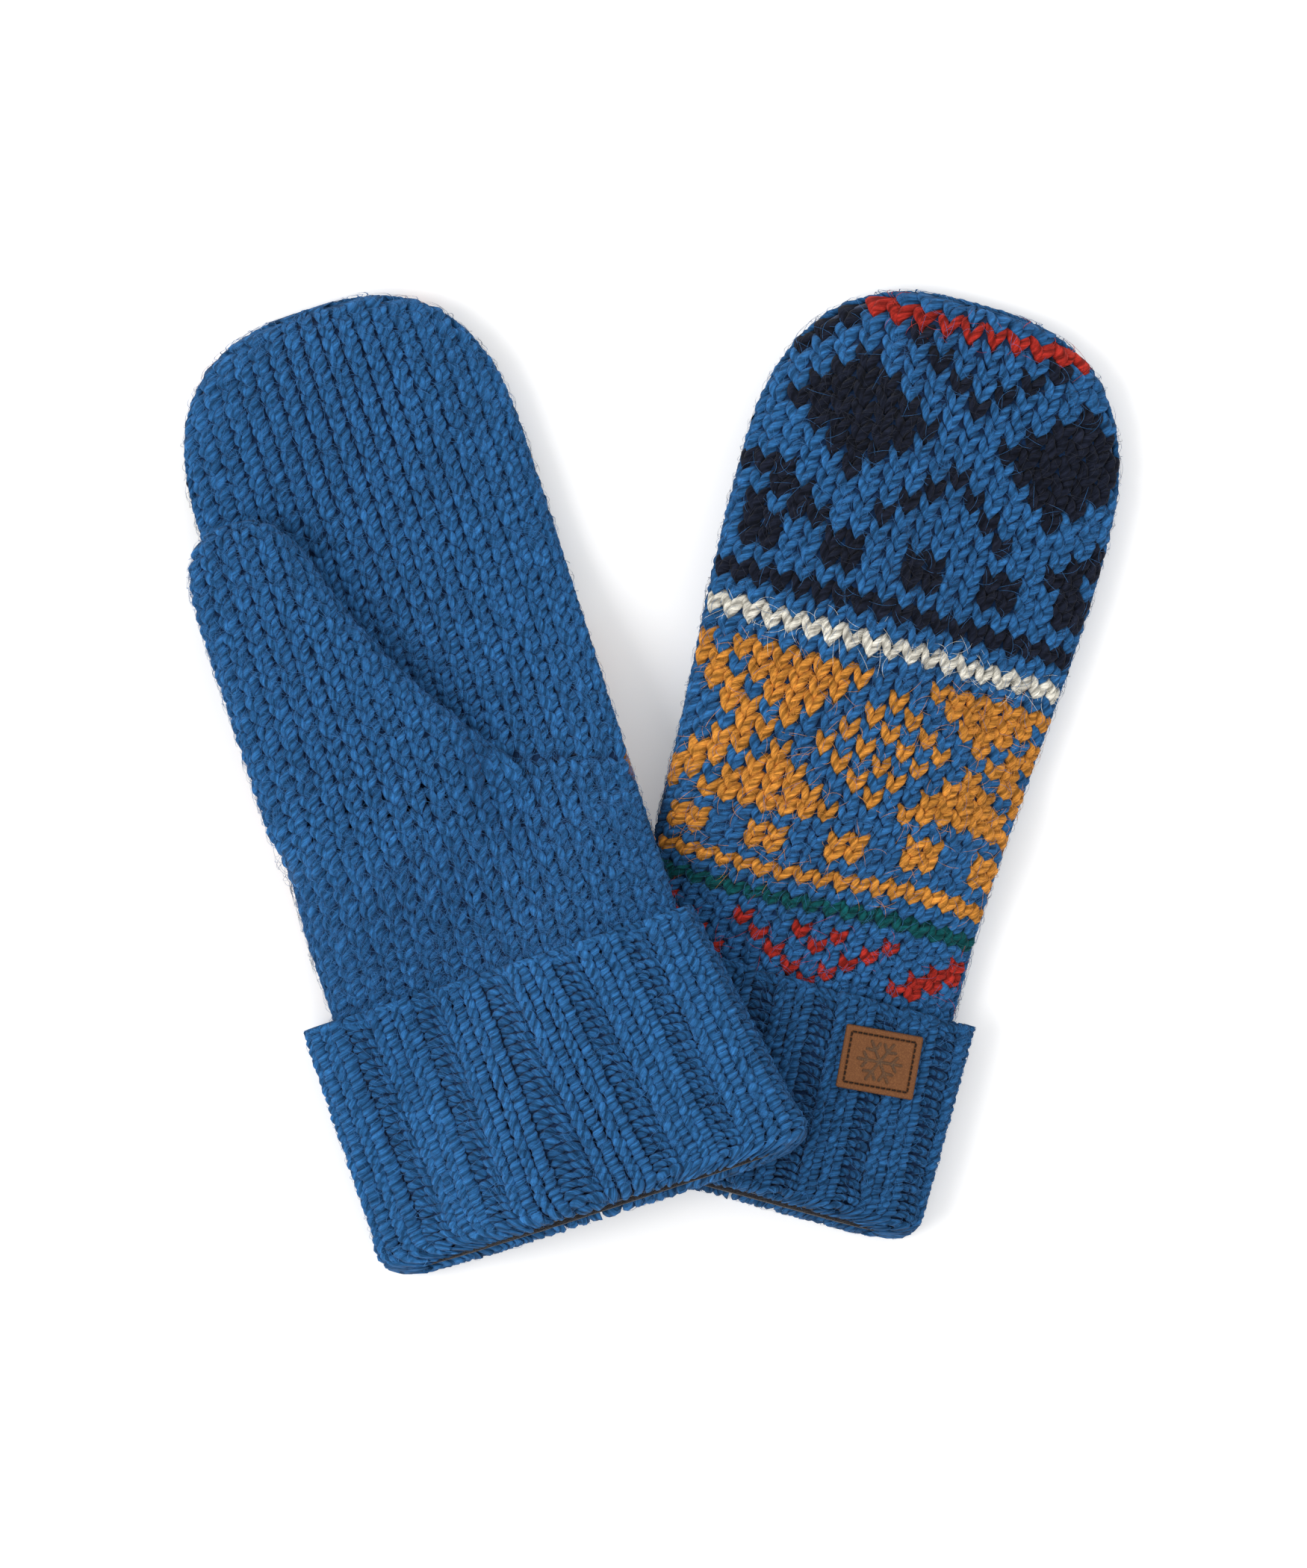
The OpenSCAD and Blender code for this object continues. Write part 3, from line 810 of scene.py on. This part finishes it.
def hand(k):
    body = f"{SIDES[k]}_mitten"
    up = PALM_UP[k]
    flat_layers = (FRONT, HAND_POWER, False)
    low = hand_start(k) - 2
    # The left back's chart is the right one's, mirrored
    flip = 1 if k == RIGHT else -1
    back = Cloth(hand_surface(k, -1), FRONT, (low, tip(k) - 0.1),
                 lambda y: flip * (9.2 - 4.4 * (1 - ramp(y, 70, 118))), mirrored=up > 0)
    panel(k, "back_panel", back, back_lattice(flip), COLUMNS, (-26, 26), flat_layers,
          tip_rows(k, low), lambda c, m: chart(c * flip, m), body, "colourwork_wool", 11 + k)
    upper = Cloth(hand_surface(k, 1), FRONT, (SEAM_LINE - 9, tip(k) - 0.1), lambda y: PALM_MIDDLE + 0 * y,
                  mirrored=up < 0)
    panel(k, "upper_palm", upper, upper_lattice, COLUMNS, (0, 40),
          flat_layers, tip_rows(k, SEAM_LINE + 0.6), blue, body, "blue_wool", 21 + k,
          stitches={"size": 1.26})
    lower = Cloth(hand_surface(k, 1, swollen=True), FRONT, (low, SEAM_LINE + 9),
                  lambda y: PALM_MIDDLE + 0 * y, mirrored=up < 0)

    def beside_thumb(across, along):
        edge = np.interp(lower.height_at(along), lower.ys, lower.low)
        return (along < ROOT - 10) | (across > thumb_inner(ROOT) - 7) | (across < edge + 14)

    panel(k, "lower_palm", lower, palm_lattice(low + 1), COLUMNS, (0, 13), flat_layers,
          lambda off: np.linspace(low, SEAM_LINE + 0.2, 26), blue, body,
          "blue_wool", 31 + k, keep=beside_thumb, stitches={"reach": 1.58, "size": 1.26})


def thumb(k):
    # The middle of the thumb's front, from which its wales are counted
    front = -32.0
    surface = Cloth(thumb_surface(k), ROUND, (ROOT - 13, TOP - 0.1), lambda y: front + 0 * y,
                    mirrored=PALM_UP[k] < 0)
    levels = (HAND_DEPTH + 8, HAND_DEPTH + 13) if k == LEFT else (THUMB_LIFT - 8, THUMB_LIFT - 13)
    ends = [tuple(laid(k, -13.0, y, z) * MM) for y, z in zip((ROOT - 1, ROOT + 9), levels)]
    body = (f"{SIDES[k]}_mitten", f"{SIDES[k]}_thumb", *ends)

    def on_front(across, along):
        low, high = (np.interp(along, surface.ys, edge) for edge in (surface.low, surface.high))
        rim = (high - low) / 4
        on_palm = (along > ROOT - 10) & (across > low + rim) & (across < high - rim)
        return (along > ROOT + 1) | on_palm

    def rows(off):
        bend = TOP - 22
        return np.concatenate([np.arange(ROOT + 5.5, bend, 3.0),
                               mix(bend, TOP - off - 0.2, np.sin(np.linspace(0, np.pi / 2, 18)))])

    # The wales carry on from those of the lower palm
    shift = (PALM_MIDDLE - front) % PALM_WALE
    panel(k, "thumb_stall", surface, palm_lattice(hand_start(k) - 1, shift), (-20, 20), (8, 36),
          (ROUND, HAND_POWER, True), rows, blue, body, "blue_wool", 41 + k, keep=on_front,
          stitches={"size": 1.3})


# ---- The ribbed cuffs ----

PERIODS = (12, 13)
RIB_ROW = 2.8
RIB_GIRTH, RIB_LENGTH = 240.0, 142.0
BAND_X = (4.06, 2.72)
# The right cuff is knitted a little tighter, and lies in the left one's shade, which is painted into its
# yarn as a darker colour
YARN_GIRTH, CUFF_PAINTED_SHADE = (1.0, 0.93), (1.0, 0.78)


def cuff(k):
    body = f"{SIDES[k]}_mitten"
    name = f"{SIDES[k]}_rib_cuff"
    rng = np.random.default_rng(51 + k)
    top, fold = (-4.2, 0.0)[k], (2.0, 0.0)[k]
    cloth = Cloth(cuff_surface(k), ROUND, (-12, CUFF_HEIGHT), lambda y: mix(fold, top, y / CUFF_HEIGHT),
                  power=CUFF_POWER, girth=RIB_GIRTH)
    period = RIB_GIRTH / PERIODS[k]
    # One period is two knit wales and two narrower purl ones
    knit_wide, purl_wide = period * 0.31, period * 0.19
    row = RIB_ROW * CUFF_HEIGHT / (CUFF_ENDS[k][1] - CUFF_ENDS[k][0])

    def lean_in(across, along):
        rest = 1 - along / CUFF_HEIGHT
        if k == LEFT:
            return across + 2.4 * np.sin(8 * np.pi * across / RIB_GIRTH) * rest
        return across + 2.8 * rest

    bands = (np.arange(PERIODS[k]) - PERIODS[k] // 2) * period + BAND_X[k] - top
    rows = np.arange(-3, int((CUFF_HEIGHT - 3.0) / row) + 1)

    def cells(offsets, width):
        centre = (bands[:, None] + np.array(offsets)[None]).ravel()
        c, m = np.meshgrid(centre, rows.astype(float), indexing="ij")

        def lattice(c, m):
            return lean_in(c * width, m * row + 2.2), m * row + 2.2

        return c.ravel() / width, m.ravel(), lattice

    def wales(part, paths, size, shade=1.0):
        # The cuff is a ring, so a stitch past one end of the cloth starts again at the other
        middle = paths[:, LEG_RINGS // 2]
        low = np.interp(cloth.height_at(middle[:, 1]), cloth.ys, cloth.low)
        turns = np.floor((middle[:, 0] - low) / RIB_GIRTH)
        paths[..., 0] -= RIB_GIRTH * turns[:, None]
        phase = rng.uniform(0, np.pi, len(paths))
        radius = size * YARN_GIRTH[k] * LEG_GIRTH[None] * rng.normal(1, 0.04, (len(paths), 1))
        # Painted shade: the yarn's colour is darkened for the purl wales' recess and for the left cuff's
        # shadow on the right one
        tint = heathered(np.full(len(paths), BLUE), rng) * shade * CUFF_PAINTED_SHADE[k]
        return knitted(f"{name}_{part}", cloth, paths, radius, tint, body, phase)

    c, m, lattice = cells((-knit_wide / 2, knit_wide / 2), knit_wide)
    paths = vee_paths(lattice, c, m, rng, reach=1.8, foot=0.12, head=0.34, depth=0.65, dives=(0.5, 1.1))
    places = paths[::2, LEG_RINGS // 2, :2]
    made = [wales("knit_wales", paths, 1.38)]

    c, m, lattice = cells((period / 2 - purl_wide / 2, period / 2 + purl_wide / 2), purl_wide)
    t = np.linspace(0, 1, LEG_RINGS)
    shake = rng.normal(0, 0.04, (len(c), 2, 1))
    bow = np.sin(np.pi * t)
    tilt = np.tile(np.repeat([0.6, -0.6], len(rows)), PERIODS[k])[:, None] * (t - 0.5)
    across, along = lattice(c[:, None] + (t - 0.5) * 1.3 + shake[:, 0],
                            m[:, None] + 0.25 * bow + tilt + shake[:, 1])
    # The rib opens out at the fold, where its purl wales come up
    up = mix(-1.3, -2.6, ramp(np.abs(along - FOLD), 3, 12)) + 0.8 * bow
    # The purl wales' yarn is darkened to 0.86 as painted shade, for the recess between the knit wales
    made.append(wales("purl_wales", np.stack([across, along, up], -1), 1.36, 0.86))

    # The cast-off edge is a chain that dips between the knit wales
    links = np.arange(-RIB_GIRTH / 2, RIB_GIRTH / 2, 3.6)
    strands = []
    for hand in (-1, 1):
        across = links[:, None] + (t - 0.5) * 5.2
        wave = np.cos(2 * np.pi * (across - bands[0]) / period)
        along = CUFF_HEIGHT - 1.9 + 1.2 * wave + hand * 0.8 * (2 * t - 1)
        strands.append(np.stack([across, along, -1.7 + 0.9 * wave + 0.5 * bow], -1))
    made.append(wales("cast_off", np.concatenate(strands), 1.2))
    tint = np.tile(YARNS[BLUE], (len(places), 1))
    made.append(fuzz(f"{name}_fibres", cloth, places, tint, body, rng, 4200))

    def layer_rows(off):
        under = np.linspace(-FOLD_ROUND * np.pi - 60, -2, 24) + FOLD
        return np.concatenate([under, np.linspace(-1.9, FOLD, 8), np.arange(FOLD + 3, CUFF_HEIGHT - 1.5, 3)])

    back = skin(f"{name}_cloth", cloth, ROUND, CUFF_POWER, layer_rows, (2.2, KNIT), PAINTED_SHADE_BACKING,
                body, True)
    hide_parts(name)
    inner = Cloth(cuff_surface(k, turned=False), ROUND, (0, CUFF_HEIGHT), lambda y: 0 * y, power=CUFF_POWER)
    depths = (CUFF_WALL + GAP, CUFF_WALL + GAP + FLEECE)
    fleece = skin(f"{SIDES[k]}_cuff_lining_fleece", inner, ROUND, CUFF_POWER,
                  lambda off: np.linspace(0.8, CUFF_HEIGHT - 3.45, 40), depths,
                  FLEECE_CLOTH, body, True, nap=LINING_NAP, seed=61 + k)
    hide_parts(f"{SIDES[k]}_cuff_lining")


# ---- Seams ----


def chain(name, line, pitch, radius, spread, tint, body, replaced):
    """A linked seam along a line of places in the pair's frame: pairs of strands that cross.

    tint holds a colour for each place of the line."""
    step = np.concatenate([[0], np.cumsum(np.linalg.norm(np.diff(line, axis=0), axis=1))])
    t = np.linspace(0, 1, LEG_RINGS)
    middle = np.arange(pitch, step[-1] - pitch, pitch)
    at = middle[:, None] + (t - 0.5) * pitch * 1.5
    paths = np.stack([np.interp(at, step, axis) for axis in line.T], -1)
    turn = spread * (2 * t - 1)
    both = np.concatenate([paths + turn[:, None] * np.array([0, 0, hand]) for hand in (-1, 1)])
    rng = np.random.default_rng(len(name))
    girth = radius * LEG_GIRTH[None] * rng.normal(1, 0.05, (len(both), 1))
    shades = np.stack([np.interp(middle, step, shade) for shade in tint.T], -1)
    colours = np.tile(shades, (2, 1)) * rng.normal(1, 0.07, (len(both), 1)).clip(0.8, 1.2)
    obj = knitted(name, None, both, girth, colours, body, rng.uniform(0, np.pi, len(both)))
    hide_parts(replaced)
    return obj


def seams(k):
    body = f"{SIDES[k]}_mitten"
    depth = 1.1
    bend = tip(k) - TIP_DEPTH[k]
    ys = np.concatenate([np.linspace(hand_start(k) - 1, bend, 90),
                         mix(bend, tip(k, depth), np.sin(np.linspace(0, np.pi / 2, 90)))[1:]])
    edges = []
    for e in (-1, 1):
        x = hand_middle(k, ys) + e * hand_half(k, ys, depth)
        edges.append(laid(k, x, ys, hand_mid(k, ys) + lift(k, x, ys)))
    line = np.concatenate([edges[0], edges[1][::-1]])
    tint = np.tile(YARNS[BLUE] * 0.8, (len(line), 1))
    # A bit of the back's ochre shows at the right-hand edge, level with the palm seam
    ochre = np.abs(ys[::-1] - (SEAM_LINE - 3.6)) < 5
    tint[len(ys):][ochre] = YARNS[OCHRE] * 0.75
    chain(f"{body}_side_chain", line, 3.8, 0.95, 0.45, tint, body, f"{SIDES[k]}_side_seam")
    _, place = hand_surface(k, 1)
    middle, half = hand_middle(k, SEAM_LINE), hand_half(k, SEAM_LINE, 0)
    s = np.linspace((thumb_inner(ROOT) - middle) / half, 0.985, 60)
    line = place(s, oval(s, HAND_POWER), SEAM_LINE - 0.9, 1.9)
    tint = np.tile(YARNS[BLUE] * 0.6, (len(line), 1))
    chain(f"{body}_palm_chain", line, 3.4, 0.95, 0.35, tint, body, f"{SIDES[k]}_palm_seam")


# ---- The leather patch ----

PATCH = (22.2, 18.2, 1.25)
PATCH_PLACE = (31.0, 50.8, CUFF_DEPTH + 0.3)
STITCH_INSET, STITCH_STEP, STITCH_LONG = 1.9, 1.5, 0.95


def on_patch(u, v, w):
    """From the patch's middle, across, up and out of it, to the pair's frame."""
    tilt, turn = np.radians(2.2), np.radians(5.0)
    u, v, w = np.broadcast_arrays(u, v, w)
    x, z = u * np.cos(tilt) + w * np.sin(tilt), w * np.cos(tilt) - u * np.sin(tilt)
    x, y = x * np.cos(turn) - v * np.sin(turn), x * np.sin(turn) + v * np.cos(turn)
    return laid(RIGHT, x + PATCH_PLACE[0], y + PATCH_PLACE[1], z + PATCH_PLACE[2])


def patch_stitches():
    """The middle and heading of each running stitch of the patch's seam."""
    found = []
    for side, other, across in ((PATCH[0], PATCH[1], True), (PATCH[1], PATCH[0], False)):
        long = side - 2 * STITCH_INSET
        count = int(long / STITCH_STEP)
        for i in range(count):
            at = (i + 0.5) * long / count - long / 2
            for edge in (-1, 1):
                off = edge * (other / 2 - STITCH_INSET)
                found.append((at, off, 1, 0) if across else (off, at, 0, 1))
    return np.array(found)


def crystal_lines():
    """The strokes of a snow crystal: three crossed bars with a tick near each end."""
    reach, tick = 6.2, 2.4
    lines = []
    for a in np.radians(np.arange(0, 360, 60)):
        arm = np.array([np.cos(a), np.sin(a)])
        lines.append((0 * arm, arm * reach))
        fork = arm * reach * 0.55
        for b in np.radians((-55, 55)):
            lines.append((fork, fork + tick * np.array([np.cos(a + b), np.sin(a + b)])))
    return lines


def nearest(u, v, lines):
    """How far each place is from the nearest of the lines."""
    best = np.full(u.shape, 1e9)
    for (au, av), (bu, bv) in lines:
        du, dv = bu - au, bv - av
        t = np.clip(((u - au) * du + (v - av) * dv) / (du * du + dv * dv), 0, 1)
        best = np.minimum(best, np.hypot(u - au - t * du, v - av - t * dv))
    return best


def leather_patch():
    wide, high, thick = PATCH
    columns, rows = 170, 140
    u, v = np.meshgrid(np.linspace(-wide / 2, wide / 2, columns), np.linspace(-high / 2, high / 2, rows))
    # Rounded corners
    corner = 0.7
    cu, cv = np.abs(u) - wide / 2 + corner, np.abs(v) - high / 2 + corner
    out = np.hypot(cu, cv)
    pull = np.where((cu > 0) & (cv > 0) & (out > corner), corner / np.maximum(out, 1e-9), 1.0)
    u = np.sign(u) * np.where(cu > 0, wide / 2 - corner + cu * pull, np.abs(u))
    v = np.sign(v) * np.where(cv > 0, high / 2 - corner + cv * pull, np.abs(v))
    edge = np.minimum(wide / 2 - np.abs(u), high / 2 - np.abs(v))
    edge = np.where((cu > 0) & (cv > 0), corner - out * pull, edge)
    motif = smooth((0.6 - nearest(u, v, crystal_lines())) / 0.3)
    spots = patch_stitches()
    seam = np.zeros(u.shape)
    holes = np.zeros(u.shape)
    for x, y, du, dv in spots:
        away = np.hypot((u - x) / (0.5 + du * 0.7), (v - y) / (0.5 + dv * 0.7))
        seam = np.maximum(seam, smooth(1.5 - away))
        for end in (-1, 1):
            gone = np.hypot(u - x - end * du * STITCH_LONG / 2, v - y - end * dv * STITCH_LONG / 2)
            holes = np.maximum(holes, smooth((0.42 - gone) / 0.3))
    rng = np.random.default_rng(7)
    round_edge = 0.45 * (1 - np.sqrt(1 - (1 - np.minimum(edge, 0.5) / 0.5) ** 2))
    top = thick - round_edge - 0.35 * motif - 0.1 * seam - 0.3 * holes + rng.normal(0, 0.012, u.shape)
    points = np.concatenate([on_patch(u, v, top).reshape(-1, 3), on_patch(u, v, 0).reshape(-1, 3)])
    face = grid_faces(rows, columns, False)
    under = rows * columns
    j, i = np.arange(columns - 1), np.arange(rows - 1) * columns
    last, end = (rows - 1) * columns, columns - 1
    walls = [np.stack([j, j + under, j + 1 + under, j + 1], -1),
             np.stack([j + last, j + 1 + last, j + 1 + last + under, j + last + under], -1),
             np.stack([i, i + columns, i + columns + under, i + under], -1),
             np.stack([i + end + columns, i + end, i + end + under, i + end + columns + under], -1)]
    faces = [np.concatenate([face, face[:, ::-1] + under, *walls])]
    base, dark, pressed_in = linear((106, 64, 33)), linear((58, 34, 20)), linear((62, 54, 44))
    rim = smooth((0.7 - edge) / 0.7)[..., None] * 0.6
    tint = mix(base, dark, np.maximum(rim, 0.9 * holes[..., None]))
    tint = mix(tint, pressed_in, motif[..., None] * 0.85).reshape(-1, 3)
    colours = np.concatenate([tint, np.tile(dark, (under, 1))])
    flat = np.stack([u, v], -1).reshape(-1, 2)
    obj = build("right_patch_leather", points, faces, leather_material(), "right_mitten", True,
                colours, flat=np.concatenate([flat, flat]))
    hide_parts("right_patch")

    t = np.linspace(0, 1, 7)
    long = (t - 0.5) * STITCH_LONG
    x, y = spots[:, :1] + spots[:, 2:3] * long, spots[:, 1:2] + spots[:, 3:] * long
    arch = thick - 0.28 + 0.34 * np.sin(np.pi * t) + 0 * x
    paths = on_patch(x, y, arch)
    girth = 0.27 * np.array([0.6, 0.9, 1, 1, 1, 0.9, 0.6]) * np.ones((len(spots), 1))
    points, faces, strands = tubes(paths, girth, 8, 0.1, 0.5, np.zeros(len(spots)))
    colours = np.tile(linear((46, 30, 20)), (len(points), 1))
    thread = build("right_patch_stitching", points, faces, WOOL, "right_mitten", False, colours,
                   strands, points[:, :2])
    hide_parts("right_patch_thread")


for k in (LEFT, RIGHT):
    hand(k)
    thumb(k)
    cuff(k)
    seams(k)
leather_patch()

# ---- Floor, lights and camera ----

FLOOR_HALF = 3.0
floor_points = np.array([[-1, -1, 0], [1, -1, 0], [1, 1, 0], [-1, 1, 0]]) * FLOOR_HALF
floor_mesh = bpy.data.meshes.new("floor")
floor_mesh.from_pydata((floor_points - [0, 0, 0.0005]).tolist(), [], [(0, 1, 2, 3)])
floor = bpy.data.objects.new("floor", floor_mesh)
bpy.context.scene.collection.objects.link(floor)
floor_mesh.materials.append(floor_material())


def area_light(name, location, size, power):
    light = bpy.data.lights.new(name, "AREA")
    light.energy, light.size, light.color = power, size, (1.0, 0.99, 0.98)
    obj = bpy.data.objects.new(name, light)
    obj.location = location
    obj.rotation_mode = "QUATERNION"
    aim = -obj.location
    obj.rotation_quaternion = aim.to_track_quat("-Z", "Y")
    bpy.context.scene.collection.objects.link(obj)


area_light("key", (-1.5, -0.35, 1.9), 1.2, 26)
area_light("fill", (0.9, 1.5, 1.8), 1.8, 7)
world = bpy.data.worlds.new("studio")
world.use_nodes = True
world.node_tree.nodes["Background"].inputs["Color"].default_value = (1, 1, 1, 1)
world.node_tree.nodes["Background"].inputs["Strength"].default_value = 0.86
bpy.context.scene.world = world
bpy.context.scene.view_settings.view_transform = "Standard"

VIEW_CENTRE = (0.49, -0.17)
VIEW_HEIGHT = 445.2
VIEW_DISTANCE = 2.5
OBJECT_LEVEL = 0.018
camera = bpy.data.cameras.new("camera")
camera.sensor_width = 36
camera.lens = camera.sensor_width / 2 / (VIEW_HEIGHT / 2 * MM / VIEW_DISTANCE)
camera_object = bpy.data.objects.new("camera", camera)
camera_object.location = (VIEW_CENTRE[0] * MM, VIEW_CENTRE[1] * MM, VIEW_DISTANCE + OBJECT_LEVEL)
bpy.context.scene.collection.objects.link(camera_object)
bpy.context.scene.camera = camera_object
